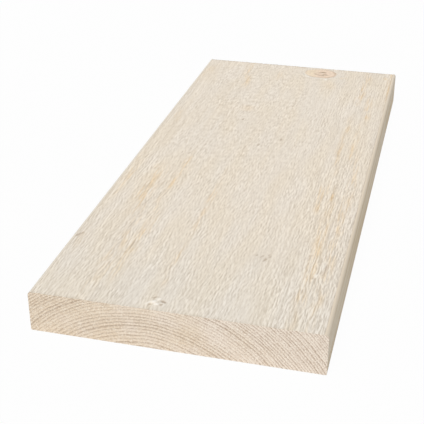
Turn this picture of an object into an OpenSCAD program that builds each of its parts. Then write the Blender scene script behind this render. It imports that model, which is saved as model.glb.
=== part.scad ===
// Softwood board, one straight sawn length.
// The face is fine-sawn, the edges and the back are planed, and the two ends are cut square.
// The section lies in the X-Z plane and runs along Y. The origin is the middle of the back, and the face is up.

/* [Board] */
// Length of the piece, end to end
board_length = 350; // [100:5:6000]
// Finished width, edge to edge
board_width = 145; // [45:1:300]
// Finished thickness, back to face
board_thickness = 22; // [12:0.5:75]

/* [Arrises] */
// Radius of the two long arrises beside the sawn face
face_arris_radius = 2; // [0.5:0.25:5]
// Radius of the two long arrises beside the back, which are only eased
back_arris_radius = 0.5; // [0.25:0.25:3]

/* [Hidden] */

// Segments of a full circle, when the arrises are drawn as polygons
arris_segments = 64;
// How far a cut runs past the surface that it opens
overcut = 1;
// Pale softwood
timber_colour = "#e4dbcb";

half_width = board_width / 2;

// What a rounding cutter takes off a square corner at the origin, whose material lies towards +X and +Y
module corner_waste(radius) {
    difference() {
        translate([-overcut, -overcut])
            square(radius + overcut);
        translate([radius, radius])
            circle(r = radius, $fn = arris_segments);
    }
}

// The left half's two corners, moved to the section's back and face
module half_waste() {
    translate([-half_width, 0])
        corner_waste(back_arris_radius);
    translate([-half_width, board_thickness])
        mirror([0, 1])
            corner_waste(face_arris_radius);
}

// The board's section: width along X and thickness along Y, with the face on top
module board_section() {
    difference() {
        translate([-half_width, 0])
            square([board_width, board_thickness]);
        half_waste();
        mirror([1, 0])
            half_waste();
    }
}

// The board: its section run along the grain, then laid flat with the face up
module plank() {
    color(timber_colour)
        rotate([90, 0, 0])
            linear_extrude(height = board_length, center = true)
                board_section();
}

plank();
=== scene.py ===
"""Softwood board, dressed: one fine-sawn length with a knot, in the frame of its solid model.

The face is rough from the saw, the edges and the back are planed, and the ends show the growth rings.
The classes give sizes in millimetres. Finished meshes, the lamp and the camera are in metres.
"""

import logging
import math
from collections.abc import Iterable
from dataclasses import dataclass, field
from enum import IntEnum

import bmesh
import bpy
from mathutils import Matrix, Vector, noise


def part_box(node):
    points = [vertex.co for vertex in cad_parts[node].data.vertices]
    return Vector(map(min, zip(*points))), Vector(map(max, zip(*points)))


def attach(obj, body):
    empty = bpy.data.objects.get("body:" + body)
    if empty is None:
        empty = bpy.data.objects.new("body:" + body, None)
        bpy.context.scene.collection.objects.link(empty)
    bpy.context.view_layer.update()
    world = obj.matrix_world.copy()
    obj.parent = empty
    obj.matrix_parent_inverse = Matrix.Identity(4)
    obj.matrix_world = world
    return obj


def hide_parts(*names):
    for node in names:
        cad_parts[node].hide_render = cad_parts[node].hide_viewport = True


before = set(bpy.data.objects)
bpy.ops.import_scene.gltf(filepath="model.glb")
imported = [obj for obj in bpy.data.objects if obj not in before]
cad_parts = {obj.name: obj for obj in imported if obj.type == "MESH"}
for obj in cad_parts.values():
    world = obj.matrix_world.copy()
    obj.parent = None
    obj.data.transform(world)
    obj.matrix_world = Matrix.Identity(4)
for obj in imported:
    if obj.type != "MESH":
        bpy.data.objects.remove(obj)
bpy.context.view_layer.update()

LOG = logging.getLogger("plank")
MM = 0.001
NODE = "plank"
BODY = "root"
FULL_TURN = 2 * math.pi
# Two points this near, in millimetres, are on the same plane
TOUCH = 0.01
# A normal or an edge with this share of an axis runs along it
SQUARE = 0.999
# What the material's cloudy patterns vary round
MIDDLE = 0.5
# What each point of the sawn face notes for its finish
FIGURE = ("relief", "torn", "streak", "spot", "wool", "ruffle")

# Two numbers that belong together: where a change starts and ends, or a pattern's breadth and length
Span = tuple[float, float]
Triple = tuple[float, float, float]
# A node's socket and its outputs, and what may feed an input: a socket, a number, several or a colour's code
Socket = bpy.types.NodeSocket
Outputs = bpy.types.NodeOutputs
Feed = Socket | float | tuple | list | str
Inputs = dict[int | str, Feed]


class Surface(IntEnum):
    """The three kinds of surface on the board, in the order of its material slots."""

    SAWN = 0
    PLANED = 1
    END = 2


def linear(code: str) -> tuple[float, float, float, float]:
    """Turns a colour as it shows on a screen into the renderer's linear one.

    Args:
        code: Six hexadecimal digits after a hash sign.

    Returns:
        Red, green, blue and an opacity of 1.
    """
    shown = [int(code[at : at + 2], 16) / 255 for at in (1, 3, 5)]
    light = [c / 12.92 if c <= 0.04045 else ((c + 0.055) / 1.055) ** 2.4 for c in shown]
    return (light[0], light[1], light[2], 1.0)


def ease(value: float, low: float, high: float) -> float:
    """Rises smoothly from 0 at low to 1 at high.

    Args:
        value: Where to read the curve.
        low: Where it leaves 0.
        high: Where it reaches 1.

    Returns:
        A share from 0 to 1.
    """
    share = min(max((value - low) / (high - low), 0.0), 1.0)
    return share * share * (3 - 2 * share)


def put(name: str, data: bpy.types.ID) -> bpy.types.Object:
    """Puts an object in the scene.

    Args:
        name: The object's name.
        data: Its mesh, lamp or camera.

    Returns:
        The new object.
    """
    made = bpy.data.objects.new(name, data)
    bpy.context.scene.collection.objects.link(made)
    return made


def set_down(shape: bmesh.types.BMesh, name: str) -> bpy.types.Object:
    """Turns a finished shape into an object of the scene.

    Args:
        shape: The shape, in metres.
        name: Name of the object and of its mesh.

    Returns:
        The new object.
    """
    mesh = bpy.data.meshes.new(name)
    shape.to_mesh(mesh)
    shape.free()
    return put(name, mesh)


@dataclass(frozen=True)
class Growth:
    """How the tree grew: its pith, which runs along Y under the board, and its year rings."""

    pith_x: float = -14.4
    pith_z: float = -52.3
    # Rings in each millimetre of radius: at the middle radius, and gained with each millimetre beyond it
    middle_radius: float = 75.0
    pace: float = 0.63
    pace_gained: float = 0.006
    # Radius that the stem loses with each millimetre towards the far end
    taper: float = 0.006
    # Broad, small and fine waves in a ring: their breadth, length and how far they take it off its circle
    waves: tuple[Triple, ...] = ((38.0, 150.0, 2.6), (11.0, 22.0, 0.975), (1.8, 20.0, 0.52))
    # How much good and bad years move a ring, and over how many millimetres of radius they change
    uneven: float = 0.5
    uneven_span: float = 3.2
    # Shares of a year: when summer wood starts at the latest, how much earlier it may, when it is full and
    # when it stops
    summer_latest: float = 0.5
    summer_earlier: float = 0.4
    summer_full: float = 0.9
    summer_stop: Span = (0.92, 1.0)


@dataclass(frozen=True)
class Knot:
    """A branch grown into the board, from the pith out through the sawn face."""

    x: float = 16.8
    y: float = 162.2
    half_width: float = 12.0
    half_length: float = 9.4
    # How far the branch leans to the far end with each millimetre of height
    lean: float = 0.12
    # How far its harder wood stands above the face, and how much of the roughness and of the fuzz it lacks
    proud: float = 0.09
    smoother: float = 0.7
    barer: float = 0.5
    # Where it gives way to the wood round it, where 1 is its rim
    edge: Span = (0.85, 1.1)

    def distance(self, x: float, y: float) -> float:
        """Gives how far a point of the face is from the knot's middle, where 1 is its rim."""
        return math.hypot((x - self.x) / self.half_width, (y - self.y) / self.half_length)

    def inside(self, x: float, y: float) -> float:
        """Gives 1 on the knot and 0 beside it, with a soft change between them."""
        return 1 - ease(self.distance(x, y), *self.edge)

    def parted(self, x: float, y: float) -> float:
        """Gives the place across the grain that a point would have if no fibres parted round the knot."""
        rim = max(self.distance(x, y) ** 2, 1.0)
        return x - (x - self.x) / rim


@dataclass(frozen=True)
class Lumps:
    """A cloudy pattern on the face: how broad, long and high its lumps are, and which draw of them it is."""

    breadth: float
    length: float
    rise: float
    draw: float

    def at(self, across: float, y: float) -> float:
        """Gives the pattern at a place across the grain and along the face, round 0."""
        return self.rise * noise.noise(Vector((across / self.breadth, y / self.length, self.draw)))


@dataclass(frozen=True)
class Mark:
    """A run of darker wood that shows on the sawn face."""

    x: float
    near: float
    far: float
    width: float
    strength: float
    # How far it moves across with each millimetre towards the far end
    lean: float = -0.06
    # How much of its length each end takes to fade, to either side
    fade: float = 0.3

    def shows(self, across: float, y: float) -> float:
        """Gives how strongly it shows at a place.

        Args:
            across: Place across the grain.
            y: Place along the face.

        Returns:
            A share from 0 to its strength.
        """
        soft = self.fade * (self.far - self.near)
        along = ease(y, self.near - soft, self.near + soft) * (1 - ease(y, self.far - soft, self.far + soft))
        off = (across - self.x - self.lean * (y - (self.near + self.far) / 2)) / self.width
        return self.strength * along * math.exp(-off * off)


@dataclass(frozen=True)
class Chip:
    """A spot where the saw tore the face: a flake that stands up, or a pit if its lift is below 0."""

    x: float
    y: float
    half_width: float
    half_length: float
    lift: float
    # Degrees that its width is turned from X towards the far end
    turn: float = 0.0
    # Its tone at the middle: below 0 painted shade in a pit or check, above 0 the paler wood of a fresh tear
    tone: float = -0.7
    # How much of its size is level, before it slopes to its edge
    level: float = 0.3

    def share(self, x: float, y: float) -> float:
        """Gives how much of the chip is at a place.

        Args:
            x: Place across the face.
            y: Place along the face.

        Returns:
            1 at its middle, and 0 outside it.
        """
        cosine = math.cos(math.radians(self.turn))
        sine = math.sin(math.radians(self.turn))
        wide = ((x - self.x) * cosine + (y - self.y) * sine) / self.half_width
        long = ((y - self.y) * cosine - (x - self.x) * sine) / self.half_length
        return 1 - ease(math.hypot(wide, long), self.level, 1.0)


@dataclass(frozen=True)
class SawnRelief:
    """The sawn face's roughness, as heights above the flat face, and the marks on it."""

    knot: Knot
    # Summer wood that the saw left in sight, in runs: place across, near end, far end and width
    streaks: tuple[Mark, ...] = (
        Mark(-65.0, 124.0, 164.0, 4.0, strength=0.45, lean=0.1),
        Mark(-65.7, 49.0, 73.0, 2.6, strength=0.5, lean=-0.2),
        Mark(-66.3, -66.0, -13.0, 2.2, strength=0.6),
        Mark(-66.0, -131.0, -102.0, 2.2, strength=0.45),
        Mark(-49.4, -82.0, -25.0, 5.0, strength=0.8),
        Mark(-45.0, -164.0, -88.0, 3.4, strength=0.6, lean=0.01),
        Mark(-37.2, -147.0, -77.0, 3.4, strength=0.7, lean=0.0),
        Mark(-38.0, -70.0, -5.0, 2.0, strength=0.8, lean=0.02),
        Mark(-33.4, 119.0, 178.0, 3.2, strength=0.65),
        Mark(-11.8, -160.0, -28.0, 1.7, strength=0.6, lean=0.01),
        Mark(-7.2, 141.0, 161.0, 3.0, strength=0.4, lean=0.15),
        Mark(49.8, 112.0, 166.0, 3.0, strength=1.0),
        Mark(50.2, -6.0, 72.0, 2.0, strength=0.7, lean=-0.02),
        Mark(47.8, -60.0, -30.0, 1.9, strength=1.0, lean=-0.08),
        Mark(54.2, -56.0, -28.0, 1.9, strength=1.0, lean=-0.03),
        Mark(52.0, -78.0, -20.0, 2.2, strength=0.4),
        Mark(55.1, -172.0, -50.0, 2.8, strength=0.85, lean=0.0),
        Mark(58.4, 4.0, 64.0, 1.8, strength=0.7, lean=-0.03),
        Mark(62.9, -178.0, 6.0, 2.6, strength=0.75, lean=0.0),
        Mark(59.6, 76.0, 118.0, 2.2, strength=0.85),
        Mark(68.8, 106.0, 176.0, 2.4, strength=1.0),
    )
    # Small spots of darker wood, likewise
    spots: tuple[Mark, ...] = (
        Mark(-21.0, 75.0, 85.0, 4.6, strength=0.28),
        Mark(28.0, 131.0, 146.0, 4.5, strength=0.16, lean=-0.2),
        Mark(33.8, 153.5, 157.5, 1.4, strength=0.24),
        Mark(36.8, 154.2, 158.2, 1.4, strength=0.24),
        Mark(65.9, 160.0, 165.5, 1.6, strength=0.42),
    )
    # Torn spots: place across and along, half-width and half-length
    chips: tuple[Chip, ...] = (
        # The torn splinter near the end
        Chip(-11.1, -168.3, 2.0, 1.3, lift=0.55, turn=55.0, tone=1.0),
        Chip(-9.3, -170.0, 1.8, 1.2, lift=0.5, turn=20.0, tone=0.8),
        Chip(-13.4, -169.4, 3.4, 0.9, lift=0.35, turn=55.0, tone=0.6),
        Chip(-9.4, -165.7, 1.9, 1.1, lift=0.35, turn=30.0, tone=0.5),
        Chip(-6.8, -167.2, 2.3, 0.9, lift=-0.4, turn=-28.0, tone=-0.6),
        Chip(-7.4, -169.8, 1.3, 0.9, lift=-0.35, tone=-0.45),
        Chip(-11.9, -164.5, 2.4, 0.8, lift=-0.25, turn=35.0, tone=-0.3),
        Chip(-12.6, -170.6, 1.2, 0.8, lift=-0.25, turn=20.0, tone=-0.3),
        # The nick beside the left arris
        Chip(-69.4, -116.4, 1.9, 1.1, lift=-0.5, turn=50.0, tone=-0.45),
        Chip(-67.9, -114.4, 1.2, 1.0, lift=-0.4, turn=50.0, tone=-0.3),
        # Torn grain at the right of the face, with one raised flake
        Chip(31.7, -117.3, 0.8, 2.4, lift=-0.4, turn=-20.0, tone=-0.45),
        Chip(29.5, -114.6, 0.7, 2.2, lift=-0.3, turn=-35.0, tone=-0.3),
        Chip(33.3, -113.6, 0.7, 2.2, lift=-0.3, turn=25.0, tone=-0.3),
        Chip(26.6, -114.0, 0.7, 2.0, lift=-0.3, turn=-40.0, tone=-0.25),
        Chip(48.6, -94.8, 1.6, 0.8, lift=-0.15, turn=25.0, tone=-0.25),
        Chip(53.5, -108.3, 1.8, 0.8, lift=-0.15, tone=-0.3),
        Chip(54.3, -142.8, 0.7, 3.2, lift=-0.15, tone=-0.25),
        Chip(58.9, -126.7, 1.4, 1.4, lift=0.35, tone=0.6),
        Chip(58.2, -128.9, 2.4, 0.8, lift=-0.2, tone=-0.4),
        Chip(60.8, -57.5, 0.7, 1.6, lift=-0.15, tone=-0.22),
        Chip(61.3, -66.5, 0.7, 1.6, lift=-0.15, tone=-0.2),
        Chip(61.9, -80.6, 0.8, 1.8, lift=-0.15, tone=-0.28),
        # Long tears beside the streaks, some with a raised lip
        Chip(-38.3, -119.4, 0.7, 8.0, lift=-0.22, tone=-0.3),
        Chip(-39.4, -127.3, 1.8, 0.9, lift=-0.12, turn=20.0, tone=-0.25),
        Chip(-39.7, -117.5, 0.7, 7.0, lift=0.2, tone=0.5),
        Chip(-41.0, -117.0, 0.6, 4.0, lift=-0.12, tone=-0.15),
        Chip(-45.7, -98.0, 0.7, 6.5, lift=-0.12, turn=-7.0, tone=-0.14),
        Chip(-46.4, -72.5, 0.8, 6.0, lift=-0.1, turn=-9.0, tone=-0.16),
        Chip(-48.4, -60.5, 0.8, 8.5, lift=0.2, tone=0.45),
        Chip(-51.3, -52.5, 0.8, 7.0, lift=-0.1, tone=-0.14),
        Chip(-46.6, -46.0, 0.7, 5.5, lift=-0.1, turn=5.0, tone=-0.14),
        Chip(62.5, -119.5, 0.7, 8.5, lift=-0.2, turn=-5.0, tone=-0.28),
        Chip(62.0, -124.2, 0.8, 2.6, lift=-0.1, tone=-0.16),
        Chip(61.1, -117.0, 0.7, 6.0, lift=0.2, tone=0.5),
        # Small pits in the woolly strip
        Chip(-20.0, 60.0, 1.1, 2.2, lift=-0.3, tone=-0.35),
        Chip(11.2, 32.5, 1.0, 2.0, lift=-0.3, tone=-0.35),
        Chip(-1.2, 21.2, 1.0, 2.2, lift=-0.3, tone=-0.35),
        # Drying checks in the knot round a pale spot, and the pale flake at its near side
        Chip(17.0, 164.4, 2.6, 1.2, lift=-0.2, turn=24.0, tone=-0.42),
        Chip(19.3, 165.2, 2.6, 1.4, lift=-0.25, turn=-4.0, tone=-0.8),
        Chip(18.4, 162.2, 2.0, 1.2, lift=0.05, turn=10.0, tone=0.45),
        Chip(20.6, 161.0, 3.4, 1.4, lift=-0.15, turn=-34.0, tone=-0.36),
        Chip(22.6, 159.0, 2.2, 1.2, lift=-0.15, turn=-12.0, tone=-0.28),
        Chip(19.2, 159.6, 1.6, 2.6, lift=-0.1, turn=12.0, tone=-0.2),
        Chip(13.4, 160.2, 1.6, 2.2, lift=-0.12, turn=28.0, tone=-0.22),
        Chip(15.6, 158.8, 2.8, 1.7, lift=-0.12, turn=-15.0, tone=-0.28),
        Chip(18.9, 157.9, 4.0, 1.9, lift=-0.12, turn=6.0, tone=-0.3),
        Chip(11.8, 166.8, 2.0, 1.0, lift=-0.1, turn=20.0, tone=-0.2),
        Chip(22.8, 150.3, 1.6, 2.2, lift=0.2, tone=0.8),
    )
    # The woolly strip, where the saw ran along the rings: its middle, its half-widths at the near and the far
    # part, where they change, how softly it stops and how its sides stray
    wool_middle: float = -16.0
    wool_near: float = 56.0
    wool_far: float = 45.0
    wool_change: Span = (-110.0, 10.0)
    wool_fade: float = 18.0
    wool_stray: Lumps = Lumps(30.0, 55.0, 9.0, draw=6.1)
    # Tufts in the woolly strip, near and far, and how they bend
    tufts_near: tuple[Lumps, ...] = (Lumps(0.9, 3.6, 0.035, draw=9.0), Lumps(0.64, 3.1, 0.11, draw=6.4))
    tufts_far: tuple[Lumps, ...] = (
        Lumps(2.5, 5.0, 0.1, draw=25.0),
        Lumps(1.6, 3.8, 0.22, draw=16.0),
        Lumps(1.0, 3.0, 0.17, draw=10.0),
    )
    tuft_bend: Lumps = Lumps(5.0, 12.0, 1.5, draw=3.1)
    # Fibres beside it, near and far
    fibres_near: tuple[Lumps, ...] = (Lumps(0.7, 9.0, 0.06, draw=7.0),)
    fibres_far: tuple[Lumps, ...] = (Lumps(1.9, 11.0, 0.07, draw=19.0), Lumps(1.2, 7.0, 0.09, draw=12.0))
    # Long ridges along the grain, how far from the middle they grow to full height, and their share before
    ridges: tuple[Lumps, ...] = (Lumps(1.5, 70.0, 0.12, draw=15.0), Lumps(0.9, 45.0, 0.06, draw=9.0))
    ridges_grow: Span = (20.0, 40.0)
    ridges_least: float = 0.4
    # Patches that are more or less ruffled, and the limits of that
    patches: tuple[Lumps, ...] = (Lumps(13.0, 24.0, 0.45, draw=5.3), Lumps(5.0, 9.0, 0.4, draw=9.7))
    ruffle_limits: Span = (0.35, 1.9)
    # Where the near kind gives way to the far one, and how much of the finest fuzz is left there
    coarser: Span = (-90.0, 60.0)
    coarse_fuzz: float = 0.56
    # Marks of the saw's teeth across the board: how far apart, how high, how they slant and how they sway
    tooth_pitch: float = 3.4
    tooth_rise: float = 0.012
    tooth_slant: float = 0.06
    tooth_sway: Lumps = Lumps(25.0, 25.0, 1.2, draw=1.9)
    # How the streaks sway, and the pattern that breaks them, with its heights at a gap's edge and the share
    # of the streak that is left in a gap
    streak_sway: Lumps = Lumps(40.0, 45.0, 2.0, draw=2.2)
    streak_gaps: Lumps = Lumps(2.6, 11.0, 1.0, draw=8.3)
    gap_edge: Span = (-0.3, 0.25)
    gap_share: float = 0.35

    def wool(self, across: float, y: float) -> float:
        """Gives how woolly the face is at a place.

        Args:
            across: Place across the grain.
            y: Place along the face.

        Returns:
            1 in the woolly strip and 0 where the fibres lie in lines.
        """
        strayed = across + self.wool_stray.at(across, y)
        half = self.wool_near + (self.wool_far - self.wool_near) * ease(y, *self.wool_change)
        return 1 - ease(abs(strayed - self.wool_middle), half - self.wool_fade, half + self.wool_fade)

    @staticmethod
    def _layers(across: float, y: float, layers: Iterable[Lumps]) -> float:
        """Adds up layers of lumps at a place across the grain and along the face."""
        return sum(lumps.at(across, y) for lumps in layers)

    def ruffle(self, across: float, y: float) -> float:
        """Gives how ruffled the face is at a place, round 1: it comes in patches."""
        least, most = self.ruffle_limits
        return min(max(1 + self._layers(across, y, self.patches), least), most)

    def coarse(self, y: float) -> float:
        """Gives how much of the far kind of fuzz there is, from 0 to 1."""
        return ease(y, *self.coarser)

    def fuzz(self, x: float, y: float) -> float:
        """Gives how strong the finest fuzz is at a place, round 1."""
        left = (1 - (1 - self.coarse_fuzz) * self.coarse(y)) * (1 - self.knot.barer * self.knot.inside(x, y))
        return self.ruffle(self.knot.parted(x, y), y) * left

    def rough(self, across: float, y: float) -> float:
        """Gives the height of the tufts, the fibres, the ridges and the tooth marks.

        Args:
            across: Place across the grain.
            y: Place along the face.

        Returns:
            Millimetres above the flat face, or below it.
        """
        wool = self.wool(across, y)
        bent = y + self.tuft_bend.at(across, y)
        far = math.sqrt(self.coarse(y))
        near = math.sqrt(1 - self.coarse(y))
        tufts = near * self._layers(across, bent, self.tufts_near)
        tufts += far * self._layers(across, bent, self.tufts_far)
        fibres = near * self._layers(across, y, self.fibres_near)
        fibres += far * self._layers(across, y, self.fibres_far)
        slant = y + self.tooth_slant * across + self.tooth_sway.at(across, y)
        tooth = self.tooth_rise * math.sin(FULL_TURN * slant / self.tooth_pitch)
        grown = self.ridges_least + (1 - self.ridges_least) * ease(abs(across), *self.ridges_grow)
        ridges = grown * self._layers(across, y, self.ridges)
        return (wool * tufts + (1 - wool) * fibres) * self.ruffle(across, y) + ridges + tooth

    def streak(self, across: float, y: float) -> float:
        """Gives how strongly the summer wood shows in its runs.

        Args:
            across: Place across the grain.
            y: Place along the face.

        Returns:
            A share from 0 to 1.
        """
        swayed = across + self.streak_sway.at(across, y)
        whole = ease(self.streak_gaps.at(across, y), *self.gap_edge)
        left = self.gap_share + (1 - self.gap_share) * whole
        return left * max(mark.shows(swayed, y) for mark in self.streaks)

    def spot(self, x: float, y: float) -> float:
        """Gives how strongly a small dark spot shows at a place, from 0 to 1."""
        return max(mark.shows(x, y) for mark in self.spots)

    def height(self, x: float, y: float) -> float:
        """Gives the face's height at a place.

        Args:
            x: Place across the face.
            y: Place along the face.

        Returns:
            Millimetres above the flat face, or below it.
        """
        inside = self.knot.inside(x, y)
        rough = self.rough(self.knot.parted(x, y), y) * (1 - self.knot.smoother * inside)
        return rough + self.knot.proud * inside + sum(chip.lift * chip.share(x, y) for chip in self.chips)

    def torn(self, x: float, y: float) -> float:
        """Gives the tone of the torn spots at a place, from -1, painted shade in pits and checks, to 1, the
        pale wood of fresh tears.
        """
        return min(max(sum(chip.tone * chip.share(x, y) for chip in self.chips), -1.0), 1.0)


class Bench:
    """Adds nodes to one shader tree and joins them."""

    def __init__(self, tree: bpy.types.NodeTree) -> None:
        """Starts on the nodes of a material, of a group or of the sky."""
        self.tree = tree

    def feed(self, socket: Socket, value: Feed) -> None:
        """Joins a socket to another, or gives it a plain value.

        Args:
            socket: The input to fill.
            value: What feeds it.
        """
        if isinstance(value, Socket):
            self.tree.links.new(value, socket)
        else:
            socket.default_value = linear(value) if isinstance(value, str) else value

    def node(self, kind: str, inputs: Inputs | None = None, **settings: object) -> bpy.types.Node:
        """Adds a node.

        Args:
            kind: Its type's name.
            inputs: What feeds its inputs, by their names or their numbers.
            settings: Its properties by name.

        Returns:
            The new node.
        """
        made = self.tree.nodes.new(kind)
        for name, value in settings.items():
            setattr(made, name, value)
        for name, value in (inputs or {}).items():
            self.feed(made.inputs[name], value)
        return made

    def group(self, tree: bpy.types.NodeTree, **values: Feed) -> Outputs:
        """Places a node group, with its inputs by name, and gives its outputs."""
        return self.node("ShaderNodeGroup", values, node_tree=tree).outputs

    def axes(self, place: Socket) -> Outputs:
        """Takes a place apart and gives its X, Y and Z."""
        return self.node("ShaderNodeSeparateXYZ", {0: place}).outputs

    def math(self, operation: str, *values: Feed) -> Socket:
        """Adds a sum on numbers, by the name that the Math node has for it, and gives its result."""
        return self.node("ShaderNodeMath", dict(enumerate(values)), operation=operation).outputs[0]

    def swing(self, pattern: Socket, span: Feed, middle: Feed) -> Socket:
        """Moves a middle value up and down with a pattern that varies round 0.5, and gives the result."""
        return self.math("MULTIPLY_ADD", self.math("SUBTRACT", pattern, MIDDLE), span, middle)

    def diagonal(self, first: Socket, second: Socket) -> Socket:
        """Gives the length of a line whose two legs, at a right angle, are known."""
        squares = self.math("ADD", self.math("MULTIPLY", first, first), self.math("MULTIPLY", second, second))
        return self.math("SQRT", squares)

    def wave(self, value: Socket, turns: float) -> Socket:
        """Gives a wave between -1 and 1, with so many turns to each 1 of a value."""
        return self.math("SINE", self.math("MULTIPLY", value, FULL_TURN * turns))

    def step(self, value: Socket, low: float, high: float, first: float = 0.0, last: float = 1.0) -> Socket:
        """Adds a smooth step between two values.

        Args:
            value: Where to read it.
            low: Where the step starts.
            high: Where it ends.
            first: What it gives up to its start.
            last: What it gives from its end.

        Returns:
            The result's socket.
        """
        inputs = dict(enumerate((value, low, high, first, last)))
        return self.node("ShaderNodeMapRange", inputs, interpolation_type="SMOOTHSTEP").outputs[0]

    def band(self, value: Socket, start: Span, stop: Span, top: float = 1.0) -> Socket:
        """Adds a soft-edged band, which rises to its top over its start and falls to 0 over its stop."""
        return self.math("MULTIPLY", self.step(value, *start), self.step(value, *stop, top, 0.0))

    def mix(self, share: Feed, first: Feed, second: Feed, way: str = "MIX") -> Socket:
        """Adds a blend of two colours.

        Args:
            share: How much of the second colour.
            first: The colour underneath.
            second: The colour on top.
            way: The Mix node's blend type.

        Returns:
            The blended colour's socket.
        """
        # A Mix node has its two colours at inputs 6 and 7
        inputs = {0: share, 6: first, 7: second}
        return self.node("ShaderNodeMix", inputs, data_type="RGBA", blend_type=way).outputs[2]

    def scaled(self, place: Socket, cell: Triple) -> Socket:
        """Gives a place in cells of a size, which is given along each axis."""
        inputs = {"Vector": place, "Scale": [1 / size for size in cell]}
        return self.node("ShaderNodeMapping", inputs).outputs[0]

    def noise(self, place: Socket, cell: Triple, detail: float) -> Socket:
        """Adds a cloudy pattern.

        Args:
            place: Socket of the place, in millimetres.
            cell: The size of its lumps along each axis, in millimetres.
            detail: How many finer layers it has.

        Returns:
            Socket of a pattern that varies round 0.5.
        """
        inputs = {"Vector": self.scaled(place, cell), "Scale": 1.0, "Detail": detail}
        return self.node("ShaderNodeTexNoise", inputs).outputs[0]


class WoodPatterns:
    """The node groups that the board's finishes share."""

    def __init__(self, growth: Growth, knot: Knot, face: float) -> None:
        """Builds the groups.

        Args:
            growth: The tree's pith and rings.
            knot: The branch in the board.
            face: Height of the sawn face above the back.
        """
        self.growth = growth
        self.knot = knot
        self.face = face
        self.branch = self._branch()
        self.rings = self._rings()
        self.fibre = self._fibre()

    @staticmethod
    def _start(name: str, inputs: Iterable[str], outputs: Iterable[str]) -> tuple[Bench, Outputs]:
        """Starts a group whose first input is a place and whose other sockets are numbers.

        Args:
            name: The group's name.
            inputs: Names of its further inputs.
            outputs: Names of its outputs.

        Returns:
            Its bench, and what it is given.
        """
        tree = bpy.data.node_groups.new(name, "ShaderNodeTree")
        tree.interface.new_socket("Place", in_out="INPUT", socket_type="NodeSocketVector")
        for way, labels in (("INPUT", inputs), ("OUTPUT", outputs)):
            for label in labels:
                tree.interface.new_socket(label, in_out=way, socket_type="NodeSocketFloat")
        bench = Bench(tree)
        return bench, bench.node("NodeGroupInput").outputs

    def _branch(self) -> bpy.types.NodeTree:
        """Builds the branch's place: how far a point is from its middle, with 1 at its rim.

        Returns:
            A group that also gives the two ways off the branch's axis.
        """
        bench, given = self._start("branch", (), ("Distance", "Across", "Along"))
        x, y, z = bench.axes(given["Place"])
        rise = self.face - self.growth.pith_z
        share = bench.math("DIVIDE", bench.math("SUBTRACT", z, self.growth.pith_z), rise)
        below = bench.math("SUBTRACT", 1.0, share)
        middle_x = bench.math("MULTIPLY_ADD", below, self.growth.pith_x - self.knot.x, self.knot.x)
        middle_y = bench.math("MULTIPLY_ADD", below, -self.knot.lean * rise, self.knot.y)
        across = bench.math("SUBTRACT", x, middle_x)
        along = bench.math("SUBTRACT", y, middle_y)
        wide = bench.math("DIVIDE", across, bench.math("MULTIPLY", share, self.knot.half_width))
        long = bench.math("DIVIDE", along, bench.math("MULTIPLY", share, self.knot.half_length))
        results = {"Distance": bench.diagonal(wide, long), "Across": across, "Along": along}
        bench.node("NodeGroupOutput", results)
        return bench.tree

    def _rings(self) -> bpy.types.NodeTree:
        """Builds the year rings, which waver, come unevenly and part round the branch.

        Returns:
            A group that gives the summer wood, from 0 to 1, a tone for each year, and the millimetres beyond
            the middle radius.
        """
        grown = self.growth
        bench, given = self._start("growth_rings", (), ("Summer", "Year", "Beyond"))
        place = given["Place"]
        x, y, z = bench.axes(place)
        branch = bench.group(self.branch, Place=place)
        rim = bench.math("MAXIMUM", bench.math("POWER", branch["Distance"], 2.0), 1.0)
        parted = bench.math("SUBTRACT", x, bench.math("DIVIDE", branch["Across"], rim))
        from_x = bench.math("SUBTRACT", parted, grown.pith_x)
        from_z = bench.math("SUBTRACT", z, grown.pith_z)
        radius = bench.math("MULTIPLY_ADD", y, grown.taper, bench.diagonal(from_x, from_z))
        for breadth, length, reach in grown.waves:
            radius = bench.swing(bench.noise(place, (breadth, length, breadth), detail=1.0), reach, radius)
        years = {"W": bench.math("DIVIDE", radius, grown.uneven_span), "Scale": 1.0, "Detail": 0.0}
        weather = bench.node("ShaderNodeTexNoise", years, noise_dimensions="1D").outputs[0]
        beyond = bench.math("SUBTRACT", bench.swing(weather, grown.uneven, radius), grown.middle_radius)
        pace = bench.math("MULTIPLY_ADD", beyond, grown.pace_gained / 2, grown.pace)
        count = bench.math("MULTIPLY", beyond, pace)
        season = bench.math("FRACT", count)
        number = {"W": bench.math("FLOOR", count)}
        year = bench.node("ShaderNodeTexWhiteNoise", number, noise_dimensions="1D").outputs["Value"]
        late = bench.math("MULTIPLY_ADD", year, -grown.summer_earlier, grown.summer_latest)
        lasts = bench.math("SUBTRACT", grown.summer_full, late)
        rise = bench.math("DIVIDE", bench.math("SUBTRACT", season, late), lasts)
        stop = bench.step(season, *grown.summer_stop, 1.0, 0.0)
        summer = bench.math("MULTIPLY", bench.step(rise, 0.0, 1.0), stop)
        bench.node("NodeGroupOutput", {"Summer": summer, "Year": year, "Beyond": beyond})
        return bench.tree

    def _fibre(self) -> bpy.types.NodeTree:
        """Builds a pattern drawn out along the grain.

        Returns:
            A group that takes the pattern's breadth and length and gives a number round 0.5.
        """
        bench, given = self._start("fibre", ("Breadth", "Length"), ("Fibre",))
        breadth = given["Breadth"]
        size = bench.node("ShaderNodeCombineXYZ", {0: breadth, 1: given["Length"], 2: breadth})
        inputs = {0: given["Place"], 1: size.outputs[0]}
        cells = bench.node("ShaderNodeVectorMath", inputs, operation="DIVIDE").outputs[0]
        made = bench.node("ShaderNodeTexNoise", {"Vector": cells, "Scale": 1.0, "Detail": 1.0})
        bench.node("NodeGroupOutput", {"Fibre": made.outputs[0]})
        return bench.tree


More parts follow.
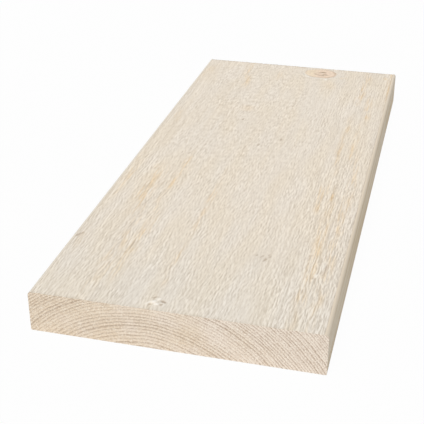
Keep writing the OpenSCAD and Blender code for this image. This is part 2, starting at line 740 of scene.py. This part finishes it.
class WoodBench(Bench):
    """The bench of a finish, with the place on the board and the shared groups at hand."""

    def __init__(self, tree: bpy.types.NodeTree, patterns: WoodPatterns) -> None:
        """Starts on a material's nodes.

        Args:
            tree: The nodes.
            patterns: The shared node groups.
        """
        super().__init__(tree)
        self.patterns = patterns
        self.place = self.scaled(self.node("ShaderNodeTexCoord").outputs["Object"], (MM, MM, MM))

    def branch(self) -> Outputs:
        """Places the branch and gives its outputs."""
        return self.group(self.patterns.branch, Place=self.place)

    def rings(self) -> Outputs:
        """Places the year rings and gives their outputs."""
        return self.group(self.patterns.rings, Place=self.place)

    def fibres(self, cell: Span) -> Socket:
        """Places the pattern along the grain, with its breadth and length, and gives its socket."""
        return self.group(self.patterns.fibre, Place=self.place, Breadth=cell[0], Length=cell[1])["Fibre"]


@dataclass(frozen=True)
class Finish:
    """What every finish of the board has."""

    name: str
    # Shades of the spring wood, of the summer wood, and of the patches where the spring wood is warmer
    spring: str
    summer: str
    warm: str
    # Breadth and length of those patches, and the pattern's heights at their edge
    warm_cell: Span
    warm_edge: Span
    # Breadth, length and depth of the fine grain
    grain_cell: Span
    grain_depth: float
    # How rough the wood is, and how much less the summer wood is
    roughness: float
    summer_gloss: float = 0.15
    shine: float = 0.25

    def paint(self, bench: WoodBench) -> tuple[Socket, Socket, Socket]:
        """Gives the colour, the summer wood from 0 to 1 and the fine grain's heights, as three sockets."""
        raise NotImplementedError

    def material(self, patterns: WoodPatterns) -> bpy.types.Material:
        """Builds the material.

        Args:
            patterns: The shared node groups.

        Returns:
            The finished material.
        """
        material = bpy.data.materials.new(self.name)
        material.use_nodes = True
        bench = WoodBench(material.node_tree, patterns)
        colour, summer, height = self.paint(bench)
        bump = bench.node("ShaderNodeBump", {"Distance": self.grain_depth * MM, "Height": height})
        roughness = bench.math("MULTIPLY_ADD", summer, -self.summer_gloss, self.roughness)
        shader = material.node_tree.nodes["Principled BSDF"]
        shader.inputs["Specular IOR Level"].default_value = self.shine
        bench.feed(shader.inputs["Base Color"], colour)
        bench.feed(shader.inputs["Roughness"], roughness)
        bench.feed(shader.inputs["Normal"], bump.outputs[0])
        return material


@dataclass(frozen=True)
class KnotFinish:
    """The knot on the sawn face: rings of its own, paler on the left, in a thin rim with a pale near edge."""

    pale: str = "#feecd0"
    wood: str = "#fee7d1"
    dark: str = "#e2cab3"
    edge: str = "#f6f0e6"
    # Where its pale left part ends, in millimetres from its middle
    left: Span = (-7.0, 1.0)
    # The waves that bend its rings: their size in millimetres, and how far they reach. From here on, 1 is the
    # knot's rim
    cell: Triple = (5.0, 5.0, 5.0)
    detail: float = 2.0
    sway: float = 0.3
    # How many rings it has, their wave's heights at a ring's edge, and how dark they are
    rings: float = 3.4
    ring_edge: Span = (-0.6, 0.9)
    ring_share: float = 0.3
    # Where its heart ends and how brown it is
    heart_stop: Span = (0.1, 0.62)
    heart_share: float = 0.3
    # Where its own wood ends and how much it covers
    wood_stop: Span = (0.88, 1.02)
    wood_share: float = 0.85
    # Its rim, and how dark that is at the left and at the right
    rim_start: Span = (0.84, 0.95)
    rim_stop: Span = (0.97, 1.06)
    rim_shares: Span = (0.3, 0.8)
    # The pale edge, how much it covers, and the millimetres from the knot's middle over which it comes in
    edge_start: Span = (0.95, 1.08)
    edge_stop: Span = (1.1, 1.4)
    edge_share: float = 0.5
    edge_side: Span = (4.0, -4.0)

    def lay(self, bench: WoodBench, colour: Socket) -> Socket:
        """Lays the knot over the wood.

        Args:
            bench: The material's bench.
            colour: Socket of the wood's colour.

        Returns:
            Socket of the colour with the knot.
        """
        branch = bench.branch()
        away = bench.swing(bench.noise(bench.place, self.cell, self.detail), self.sway, branch["Distance"])
        body = bench.mix(bench.step(branch["Across"], *self.left), self.pale, self.wood)
        ring = bench.step(bench.wave(away, self.rings), *self.ring_edge, 0.0, self.ring_share)
        body = bench.mix(ring, body, self.dark)
        body = bench.mix(bench.step(away, *self.heart_stop, self.heart_share, 0.0), body, self.dark)
        edge = bench.band(away, self.edge_start, self.edge_stop, self.edge_share)
        edge = bench.math("MULTIPLY", edge, bench.step(branch["Along"], *self.edge_side))
        colour = bench.mix(edge, colour, self.edge)
        colour = bench.mix(bench.step(away, *self.wood_stop, self.wood_share, 0.0), colour, body)
        rim = bench.band(away, self.rim_start, self.rim_stop)
        rim = bench.math("MULTIPLY", rim, bench.step(branch["Across"], *self.left, *self.rim_shares))
        return bench.mix(rim, colour, self.dark)


@dataclass(frozen=True)
class SawnFinish(Finish):
    """The fine-sawn face: pale and woolly, with the summer wood showing in runs."""

    name: str = "sawn_face"
    spring: str = "#fbf2e5"
    summer: str = "#f8dcb2"
    warm: str = "#fbf0df"
    warm_cell: Span = (12.0, 60.0)
    warm_edge: Span = (0.3, 0.7)
    grain_cell: Span = (0.55, 5.0)
    grain_depth: float = 0.3
    roughness: float = 0.9
    knot: KnotFinish = KnotFinish()
    # How strong the fibres are beside the woolly strip
    line_depth: float = 0.7
    # The fine lines that the saw left there: how far apart and how strong they are, how many spacings they
    # sway, in what breadth and length, and the pattern that breaks them, with its heights at a gap's edge
    line_pitch: float = 1.8
    line_strength: float = 0.17
    line_sway: float = 2.2
    sway_cell: Span = (2.8, 22.0)
    gap_cell: Span = (1.3, 4.2)
    gap_edge: Span = (0.36, 0.6)
    # Breadth, length and strength of the fibres in the woolly strip
    wool_cell: Span = (0.52, 3.6)
    wool_depth: float = 0.44
    # The tufts: how far apart they are across the grain, how many make a cell of the pattern, how much longer
    # a cell is than broad, how straight they lie, and how strong they are in the strip and beside it
    tuft_pitch: float = 1.8
    tuft_waves: float = 1.4
    tuft_length: float = 1.9
    tuft_straight: float = 0.75
    tuft_depth: float = 0.45
    tuft_beside: float = 0.495
    # Breadth and length of the lines that the summer wood shows in, the pattern's heights at their edge, and
    # how much shows between them and on them
    streak_cell: Span = (1.1, 18.0)
    streak_edge: Span = (0.36, 0.64)
    streak_shares: Span = (0.15, 0.85)
    # How much of the year rings shows everywhere
    ring_share: float = 0.03
    # Tints for painted shade in the hollows and for the crests, which keep the wood's colour, with the
    # grain's own tone between them, and how the fuzz and the relief share between them
    hollow_shade_and_grain: str = "#d8d4cf"
    crest: str = "#ffffff"
    fuzz: float = 1.9
    lift_light: float = 1.2
    mean_light: float = 0.5
    # Greyer tint of the wood towards the near end, and where it is full and where it stops
    greyed: str = "#fbfdff"
    greyed_stop: Span = (-190.0, -60.0)
    # Painted shade laid in the torn pits, the checks and the groove beside the arrises, and the pale wood of
    # fresh tears
    pit_shade: str = "#9f866e"
    torn: str = "#f6f0e6"

    def paint(self, bench: WoodBench) -> tuple[Socket, Socket, Socket]:
        """Draws the wood.

        Args:
            bench: The material's bench.

        Returns:
            Sockets of the colour, of the summer wood and of the fine grain's heights.
        """
        relief, torn, streak, spot, wool, ruffle = (
            bench.node("ShaderNodeAttribute", attribute_name=name).outputs["Fac"] for name in FIGURE
        )
        warmth = bench.step(bench.fibres(self.warm_cell), *self.warm_edge)
        colour = bench.mix(warmth, self.spring, self.warm)
        lines = bench.step(bench.fibres(self.streak_cell), *self.streak_edge, *self.streak_shares)
        shown = bench.math("MULTIPLY", lines, streak)
        rings = bench.math("MULTIPLY", bench.rings()["Summer"], self.ring_share)
        summer = bench.math("MAXIMUM", bench.math("MAXIMUM", shown, spot), rings)
        colour = bench.mix(summer, colour, self.summer)
        colour = self.knot.lay(bench, colour)
        grain = self._grained(bench, wool)
        # Painted shade: the relief darkens the hollows, mixed with the fine grain's own tone
        light = bench.math("MULTIPLY_ADD", relief, self.lift_light, self.mean_light)
        light = bench.swing(grain, bench.math("MULTIPLY", ruffle, self.fuzz), light)
        shade_and_grain_tint = bench.mix(bench.step(light, 0.0, 1.0), self.hollow_shade_and_grain, self.crest)
        colour = bench.mix(1.0, colour, shade_and_grain_tint, "MULTIPLY")
        greyed = bench.step(bench.axes(bench.place)["Y"], *self.greyed_stop, 1.0, 0.0)
        colour = bench.mix(greyed, colour, self.greyed, "MULTIPLY")
        # Painted shade where the torn tone is below 0, and fresh pale wood where it is above 0
        colour = bench.mix(bench.math("MULTIPLY", torn, -1.0), colour, self.pit_shade)
        colour = bench.mix(torn, colour, self.torn)
        return colour, summer, grain

    def _grained(self, bench: WoodBench, wool: Socket) -> Socket:
        """Draws the fibres and the tufts.

        Args:
            bench: The material's bench.
            wool: Socket of how woolly the face is.

        Returns:
            Socket of their heights, which vary round 0.5.
        """
        lines = bench.swing(bench.fibres(self.grain_cell), self.line_depth, MIDDLE)
        lines = bench.math("MULTIPLY_ADD", self._scored(bench), self.line_strength, lines)
        woolly = bench.swing(bench.fibres(self.wool_cell), self.wool_depth, MIDDLE)
        tufts = self._tufted(bench)
        lines = bench.swing(tufts, self.tuft_beside, lines)
        woolly = bench.swing(tufts, self.tuft_depth, woolly)
        # A Mix node has its two numbers at inputs 2 and 3
        return bench.node("ShaderNodeMix", {0: wool, 2: lines, 3: woolly}, data_type="FLOAT").outputs[0]

    def _tufted(self, bench: WoodBench) -> Socket:
        """Draws the evenly spaced tufts.

        Args:
            bench: The material's bench.

        Returns:
            Socket of a pattern that varies round 0.5.
        """
        cell = self.tuft_pitch * self.tuft_waves
        inputs = {
            "Vector": bench.scaled(bench.place, (cell, cell * self.tuft_length, cell)),
            "Scale": 1.0,
            "Frequency": self.tuft_waves,
            "Anisotropy": self.tuft_straight,
            "Orientation": 0.0,
        }
        return bench.node("ShaderNodeTexGabor", inputs, gabor_type="2D").outputs["Value"]

    def _scored(self, bench: WoodBench) -> Socket:
        """Draws the fine broken lines along the grain.

        Args:
            bench: The material's bench.

        Returns:
            Socket of a wave between -1 and 1.
        """
        across = bench.math("MULTIPLY", bench.axes(bench.place)["X"], 1 / self.line_pitch)
        swayed = bench.math("MULTIPLY_ADD", bench.fibres(self.sway_cell), self.line_sway, across)
        whole = bench.step(bench.fibres(self.gap_cell), *self.gap_edge)
        return bench.math("MULTIPLY", bench.wave(swayed, 1.0), whole)


@dataclass(frozen=True)
class PlanedFinish(Finish):
    """The planed edges and back: smooth, with the rings' lines clean and a faint ripple from the cutter."""

    name: str = "planed_side"
    spring: str = "#efe3cd"
    summer: str = "#dabf98"
    warm: str = "#dfcba8"
    warm_cell: Span = (6.0, 110.0)
    warm_edge: Span = (0.35, 0.65)
    grain_cell: Span = (0.35, 12.0)
    grain_depth: float = 0.02
    roughness: float = 0.62
    summer_gloss: float = 0.2
    # How strong the rings are in the faintest year, how much stronger they get, and how high they stand
    ring_least: float = 0.4
    ring_varies: float = 0.45
    ring_rise: float = 0.5
    # The grain's heights at a pore's edge, and how dark the pores are
    pore_edge: Span = (0.55, 0.75)
    pore_share: float = 0.16
    # Painted light: a paler, more neutral colour on the arrises beside the face, where they turn up to the
    # lamp, while the shaded sides keep the warmer wood;
    # at the left and at the right: the middle of the board between them, how far below the face they end and
    # how much they cover
    lit_arris_left: str = "#e7dfd2"
    lit_arris_right: str = "#e2d5c2"
    lit_arris_middle: Span = (-1.0, 1.0)
    lit_arris_stop: Span = (0.8, 2.0)
    lit_arris_share: float = 0.9
    # The cutter's ripples: how far apart and how high
    cutter_pitch: float = 2.4
    cutter_rise: float = 0.12
    # The branch's wood and its rim: where they start and stop, where 1 is the rim, and how much they cover
    knot_wood: str = "#d9b58a"
    knot_stop: Span = (0.9, 1.0)
    knot_share: float = 0.9
    rim_wood: str = "#b98a5c"
    rim_start: Span = (0.8, 0.95)
    rim_stop: Span = (0.97, 1.06)
    rim_share: float = 0.8

    def paint(self, bench: WoodBench) -> tuple[Socket, Socket, Socket]:
        """Draws the wood.

        Args:
            bench: The material's bench.

        Returns:
            Sockets of the colour, of the summer wood and of the fine grain's heights.
        """
        x, y, z = bench.axes(bench.place)
        rings = bench.rings()
        away = bench.branch()["Distance"]
        fine = bench.fibres(self.grain_cell)
        warmth = bench.step(bench.fibres(self.warm_cell), *self.warm_edge)
        colour = bench.mix(warmth, self.spring, self.warm)
        strength = bench.math("MULTIPLY_ADD", rings["Year"], self.ring_varies, self.ring_least)
        summer = bench.math("MULTIPLY", rings["Summer"], strength)
        colour = bench.mix(summer, colour, self.summer)
        colour = bench.mix(bench.step(fine, *self.pore_edge, 0.0, self.pore_share), colour, self.summer)
        colour = bench.mix(bench.step(away, *self.knot_stop, self.knot_share, 0.0), colour, self.knot_wood)
        rim = bench.band(away, self.rim_start, self.rim_stop, self.rim_share)
        colour = bench.mix(rim, colour, self.rim_wood)
        # Painted light: the arrises' upper part, which faces the lamp, gets the paler lit colour
        eased = bench.mix(bench.step(x, *self.lit_arris_middle), self.lit_arris_left, self.lit_arris_right)
        below = bench.math("SUBTRACT", bench.patterns.face, z)
        colour = bench.mix(bench.step(below, *self.lit_arris_stop, self.lit_arris_share, 0.0), colour, eased)
        ripple = bench.math("MULTIPLY", bench.wave(y, 1 / self.cutter_pitch), self.cutter_rise)
        height = bench.math("ADD", fine, bench.math("MULTIPLY_ADD", summer, self.ring_rise, ripple))
        return colour, summer, height


@dataclass(frozen=True)
class EndFinish(Finish):
    """The square-cut ends: the year rings in section, with open pores between pale walls."""

    name: str = "end_grain"
    spring: str = "#f6e8d8"
    summer: str = "#ab927a"
    warm: str = "#efddc5"
    warm_cell: Span = (14.0, 60.0)
    warm_edge: Span = (0.2, 0.8)
    grain_cell: Span = (0.45, 40.0)
    grain_depth: float = 0.06
    roughness: float = 0.85
    # How much the warmth loses with each millimetre to the right
    warm_lost: float = 0.005
    # How strong the rings are at the middle radius, and how much stronger with each millimetre beyond it
    ring_strength: float = 1.0
    ring_gained: float = 0.004
    # Their strength in the faintest year, how much stronger others are, and how much it varies in patches
    ring_least: float = 0.37
    ring_varies: float = 0.35
    ring_patches: float = 0.7
    patch_cell: Triple = (5.0, 20.0, 5.0)
    patch_detail: float = 2.0
    ring_rise: float = 0.5
    # The grain's heights at the edge of a pore and of a pale wall, and how much they show
    pore_edge: Span = (0.5, 0.72)
    pore_share: float = 0.4
    wall: str = "#fff6e7"
    wall_edge: Span = (0.5, 0.28)
    wall_share: float = 0.7

    def paint(self, bench: WoodBench) -> tuple[Socket, Socket, Socket]:
        """Draws the wood.

        Args:
            bench: The material's bench.

        Returns:
            Sockets of the colour, of the summer wood and of the fine grain's heights.
        """
        rings = bench.rings()
        fine = bench.fibres(self.grain_cell)
        aside = bench.axes(bench.place)["X"]
        warmth = bench.math("MULTIPLY_ADD", aside, -self.warm_lost, bench.fibres(self.warm_cell))
        colour = bench.mix(bench.step(warmth, *self.warm_edge), self.spring, self.warm)
        strength = bench.math("MULTIPLY_ADD", rings["Year"], self.ring_varies, self.ring_least)
        patches = bench.noise(bench.place, self.patch_cell, self.patch_detail)
        strength = bench.swing(patches, self.ring_patches, strength)
        aged = bench.math("MULTIPLY_ADD", rings["Beyond"], self.ring_gained, self.ring_strength)
        summer = bench.math("MULTIPLY", rings["Summer"], bench.math("MULTIPLY", strength, aged))
        colour = bench.mix(summer, colour, self.summer)
        colour = bench.mix(bench.step(fine, *self.pore_edge, 0.0, self.pore_share), colour, self.summer)
        colour = bench.mix(bench.step(fine, *self.wall_edge, 0.0, self.wall_share), colour, self.wall)
        return colour, summer, bench.math("MULTIPLY_ADD", rings["Summer"], self.ring_rise, fine)


@dataclass
class Plank:
    """The board: a straight length with a rough sawn face, eased arrises and square-cut ends."""

    width: float
    length: float
    thickness: float
    growth: Growth = field(default_factory=Growth)
    knot: Knot = field(default_factory=Knot)
    # Radius and segments of the long arrises
    face_arris: float = 2.0
    face_segments: int = 6
    back_arris: float = 0.5
    back_segments: int = 2
    # Cells of the first grid across, along and through the board, and how often the rough faces divide them
    cells: tuple[int, int, int] = (56, 46, 5)
    fine_cuts: int = 4
    # The finest parts: a margin round the knot, and the splinter's place, half-width and half-length
    knot_margin: float = 2.0
    splinter: tuple[float, float, float, float] = (-10.0, -167.5, 7.0, 5.0)
    # How far the roughness takes to die out beside the arrises, how deep the groove there is, and how dark
    # the painted shade along it is
    arris_fade: float = 0.7
    arris_line: float = 0.2
    arris_shade: float = -0.2
    # How deep the face's edge is frayed at the near end and worn at the far one, and how far in
    fray_depth: float = 0.35
    worn_depth: float = 0.4
    fray_reach: float = 2.2
    # How the fray varies across the board, its middle, and the row of the pattern that gives it
    fray_lumps: Lumps = Lumps(1.3, 1.0, 0.8, draw=4.4)
    fray_middle: float = 0.4
    fray_row: float = 21.0
    # Roughness of the cut ends: its rise, the share of that by which they lie back, and its size and draw
    end_rise: float = 0.05
    end_back: float = 0.5
    end_lump: float = 1.4
    end_draw: float = 11.0

    @classmethod
    def from_frame(cls) -> "Plank":
        """Takes the board's size from its solid model.

        Returns:
            A board of that size.
        """
        low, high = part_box(NODE)
        size = [(b - a) / MM for a, b in zip(low, high)]
        return cls(width=size[0], length=size[1], thickness=size[2])

    def build(self) -> bpy.types.Object:
        """Models the board.

        Returns:
            The board's object, with no materials yet.
        """
        board = self._blank()
        self._ease_arrises(board)
        self._sort_faces(board)
        self._refine(board)
        self._roughen_face(board)
        self._roughen_ends(board)
        bmesh.ops.recalc_face_normals(board, faces=board.faces)
        self._set_shading(board)
        bmesh.ops.scale(board, vec=(MM, MM, MM), verts=board.verts)
        return set_down(board, "sawn_board")

    @staticmethod
    def _runs_along(edge: bmesh.types.BMEdge, axis: int) -> bool:
        """Tells whether an edge is parallel to an axis."""
        way = edge.verts[1].co - edge.verts[0].co
        return abs(way[axis]) > SQUARE * way.length

    @staticmethod
    def _points(board: bmesh.types.BMesh, surface: Surface) -> list[bmesh.types.BMVert]:
        """Finds the points that a kind of surface has, those on its edges too."""
        return [v for v in board.verts if any(face.material_index == surface for face in v.link_faces)]

    def _blank(self) -> bmesh.types.BMesh:
        """Makes the square block, divided into an even grid.

        Returns:
            The block, in millimetres.
        """
        board = bmesh.new()
        bmesh.ops.create_cube(board, size=1.0)
        bmesh.ops.scale(board, vec=(self.width, self.length, self.thickness), verts=board.verts)
        bmesh.ops.translate(board, vec=(0.0, 0.0, self.thickness / 2), verts=board.verts)
        for axis, count in enumerate(self.cells):
            edges = [edge for edge in board.edges if self._runs_along(edge, axis)]
            bmesh.ops.subdivide_edges(board, edges=edges, cuts=count - 1, use_grid_fill=True)
        return board

    def _ease_arrises(self, board: bmesh.types.BMesh) -> None:
        """Rounds the four long arrises.

        Args:
            board: The square block.
        """
        face = (self.thickness, self.face_arris, self.face_segments)
        back = (0.0, self.back_arris, self.back_segments)
        for height, radius, segments in (face, back):
            edges = []
            for edge in board.edges:
                middle = (edge.verts[0].co + edge.verts[1].co) / 2
                outside = abs(abs(middle.x) - self.width / 2) < TOUCH
                if outside and abs(middle.z - height) < TOUCH and self._runs_along(edge, 1):
                    edges.append(edge)
            bmesh.ops.bevel(
                board,
                geom=edges,
                offset=radius,
                offset_type="OFFSET",
                affect="EDGES",
                segments=segments,
                profile=0.5,
                material=-1,
            )

    def _sort_faces(self, board: bmesh.types.BMesh) -> None:
        """Gives each face the finish that it has on the board.

        Args:
            board: The eased block.
        """
        board.normal_update()
        for face in board.faces:
            if face.normal.z > SQUARE:
                face.material_index = Surface.SAWN
            elif abs(face.normal.y) > SQUARE:
                face.material_index = Surface.END
            else:
                face.material_index = Surface.PLANED

    def _refine(self, board: bmesh.types.BMesh) -> None:
        """Divides the rough faces finely, and most finely at the knot and the splinter.

        Args:
            board: The eased block, with its faces sorted.
        """
        rough = {edge for face in board.faces if face.material_index != Surface.PLANED for edge in face.edges}
        bmesh.ops.subdivide_edges(board, edges=list(rough), cuts=self.fine_cuts, use_grid_fill=True)
        knot = self.knot
        margin = self.knot_margin
        around_knot = (knot.x, knot.y, knot.half_width + margin, knot.half_length + margin)
        for x, y, half_width, half_length in (around_knot, self.splinter):
            edges = set()
            for face in board.faces:
                middle = face.calc_center_median()
                near = abs(middle.x - x) < half_width and abs(middle.y - y) < half_length
                if near and face.material_index == Surface.SAWN:
                    edges.update(face.edges)
            bmesh.ops.subdivide_edges(board, edges=list(edges), cuts=1, use_grid_fill=True)

    def _roughen_face(self, board: bmesh.types.BMesh) -> None:
        """Lifts the sawn face's fibres, and notes each point's height and figure for the finish.

        Args:
            board: The refined board.
        """
        relief = SawnRelief(self.knot)
        layers = [board.verts.layers.float.new(name) for name in FIGURE]
        flat = self.width / 2 - self.face_arris
        for vertex in self._points(board, Surface.SAWN):
            x, y = vertex.co.x, vertex.co.y
            across = self.knot.parted(x, y)
            inner = ease(flat - abs(x), 0.0, self.arris_fade)
            lift = relief.height(x, y) * inner - self.arris_line * (1 - inner) - self._fray(x, y)
            # The torn tone carries painted shade in the pits and along the groove beside each arris
            torn = relief.torn(x, y) + self.arris_shade * (1 - inner)
            wool = relief.wool(across, y)
            noted = (lift, torn, relief.streak(across, y), relief.spot(x, y), wool, relief.fuzz(x, y))
            for layer, value in zip(layers, noted):
                vertex[layer] = value
            vertex.co.z += lift

    def _fray(self, x: float, y: float) -> float:
        """Gives how deep the face's edge is torn or worn away beside the ends.

        Args:
            x: Place across the face.
            y: Place along the face.

        Returns:
            Millimetres below the flat face.
        """
        torn = max(self.fray_middle + self.fray_lumps.at(x, self.fray_row), 0.0)
        deep = self.worn_depth if y > 0 else self.fray_depth * torn
        return deep * (1 - ease(self.length / 2 - abs(y), 0.0, self.fray_reach))

    def _roughen_ends(self, board: bmesh.types.BMesh) -> None:
        """Tears the cut ends slightly.

        Args:
            board: The refined board.
        """
        for vertex in self._points(board, Surface.END):
            x, y, z = vertex.co
            side = math.copysign(1.0, y)
            rough = noise.noise(Vector((x / self.end_lump, self.end_draw * side, z / self.end_lump)))
            vertex.co.y += side * self.end_rise * (rough - self.end_back)

    @staticmethod
    def _set_shading(board: bmesh.types.BMesh) -> None:
        """Shades the board smooth, with a sharp line round each end.

        Args:
            board: The finished shape.
        """
        for face in board.faces:
            face.smooth = True
        for edge in board.edges:
            kinds = {face.material_index == Surface.END for face in edge.link_faces}
            edge.smooth = len(kinds) == 1

    def dress(self, piece: bpy.types.Object) -> None:
        """Gives the board its finishes and its place in the frame.

        Args:
            piece: The board's object.
        """
        patterns = WoodPatterns(self.growth, self.knot, self.thickness)
        for finish in (SawnFinish(), PlanedFinish(), EndFinish()):
            piece.data.materials.append(finish.material(patterns))
        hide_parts(NODE)
        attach(piece, BODY)


@dataclass
class PhotoCamera:
    """The camera at the photograph's place, level, with its lens on a 36 mm sensor."""

    place: Triple = (0.10869, -0.52496, 0.26963)
    # Degrees that it is turned from the board's length, to the right above 0, and tilted down
    turn: float = -14.427
    tilt: float = 28.044
    lens: float = 80.955
    sensor: float = 36.0
    nearest: float = 0.01

    def build(self) -> bpy.types.Object:
        """Makes the camera and renders through it.

        Returns:
            The camera's object.
        """
        data = bpy.data.cameras.new("photo_camera")
        data.lens = self.lens
        data.sensor_width = self.sensor
        data.clip_start = self.nearest
        turn = math.radians(self.turn)
        tilt = math.radians(self.tilt)
        ahead = Vector((math.sin(turn) * math.cos(tilt), math.cos(turn) * math.cos(tilt), -math.sin(tilt)))
        camera = put("photo_camera", data)
        camera.location = self.place
        camera.rotation_mode = "QUATERNION"
        camera.rotation_quaternion = ahead.to_track_quat("-Z", "Y")
        bpy.context.scene.camera = camera
        return camera


@dataclass
class Studio:
    """A plain pale floor under soft light: an even sky, and one broad lamp above the front."""

    floor_size: float = 8.0
    floor_drop: float = 0.0002
    floor_colour: str = "#d2d2d2"
    # Share of the floor's own white in what the camera sees of it. The rest takes light and shadow
    floor_white: float = 0.97
    sky: float = 0.36
    white: str = "#ffffff"
    lamp_way: Triple = (-0.1, -0.55, 0.82)
    # How broad the lamp looks from the board, in degrees, and its light on a surface that faces it
    lamp_breadth: float = 30.0
    lamp_strength: float = 2.3

    def build(self) -> None:
        """Makes the floor, the sky and the lamp."""
        bpy.context.scene.view_settings.view_transform = "Standard"
        self._floor()
        self._sky()
        self._lamp()

    @staticmethod
    def _show(bench: Bench, lit: bpy.types.Node, white: bpy.types.Node, share: float, output: str) -> None:
        """Shows white to rays that see the background: straight ones, reflected ones and those through glass.

        Args:
            bench: The floor's or the sky's bench.
            lit: Shader for the other rays.
            white: Shader that shows white.
            share: How much of the white those rays get.
            output: Type's name of the output node.
        """
        path = bench.node("ShaderNodeLightPath").outputs
        seen = bench.math("MAXIMUM", path["Is Camera Ray"], path["Is Glossy Ray"])
        seen = bench.math("MULTIPLY", bench.math("MAXIMUM", seen, path["Is Transmission Ray"]), share)
        both = bench.node("ShaderNodeMixShader", {0: seen, 1: lit.outputs[0], 2: white.outputs[0]})
        bench.node(output, {"Surface": both.outputs[0]})

    @staticmethod
    def _cleared(owner: bpy.types.Material | bpy.types.World) -> Bench:
        """Clears the nodes of a material or a world.

        Args:
            owner: What has the nodes.

        Returns:
            Their bench.
        """
        owner.use_nodes = True
        owner.node_tree.nodes.clear()
        return Bench(owner.node_tree)

    def _floor(self) -> None:
        """Makes the floor, just under the board."""
        flat = bmesh.new()
        bmesh.ops.create_grid(flat, x_segments=1, y_segments=1, size=self.floor_size / 2)
        bmesh.ops.translate(flat, vec=(0.0, 0.0, -self.floor_drop), verts=flat.verts)
        floor = set_down(flat, "floor")
        material = bpy.data.materials.new("floor")
        bench = self._cleared(material)
        matt = bench.node("ShaderNodeBsdfDiffuse", {"Color": self.floor_colour})
        white = bench.node("ShaderNodeEmission", {"Color": self.white})
        self._show(bench, matt, white, self.floor_white, "ShaderNodeOutputMaterial")
        floor.data.materials.append(material)

    def _sky(self) -> None:
        """Makes the even light all round, which shows as white."""
        world = bpy.data.worlds.new("sky")
        bpy.context.scene.world = world
        bench = self._cleared(world)
        light = bench.node("ShaderNodeBackground", {"Color": self.white, "Strength": self.sky})
        white = bench.node("ShaderNodeBackground", {"Color": self.white, "Strength": 1.0})
        self._show(bench, light, white, 1.0, "ShaderNodeOutputWorld")

    def _lamp(self) -> None:
        """Makes the broad lamp, far enough away to light the board evenly."""
        data = bpy.data.lights.new("soft_lamp", "SUN")
        data.angle = math.radians(self.lamp_breadth)
        data.energy = self.lamp_strength
        lamp = put("soft_lamp", data)
        lamp.rotation_mode = "QUATERNION"
        lamp.rotation_quaternion = Vector(self.lamp_way).to_track_quat("Z", "Y")


def main() -> None:
    """Builds the camera, the board and the studio, in that order."""
    logging.basicConfig(level=logging.INFO, format="%(name)s: %(message)s")
    PhotoCamera().build()
    plank = Plank.from_frame()
    piece = plank.build()
    plank.dress(piece)
    triangles = sum(len(face.vertices) - 2 for face in piece.data.polygons)
    LOG.info("%s rides on %s with %d triangles", piece.name, BODY, triangles)
    Studio().build()


if __name__ == "__main__":
    main()
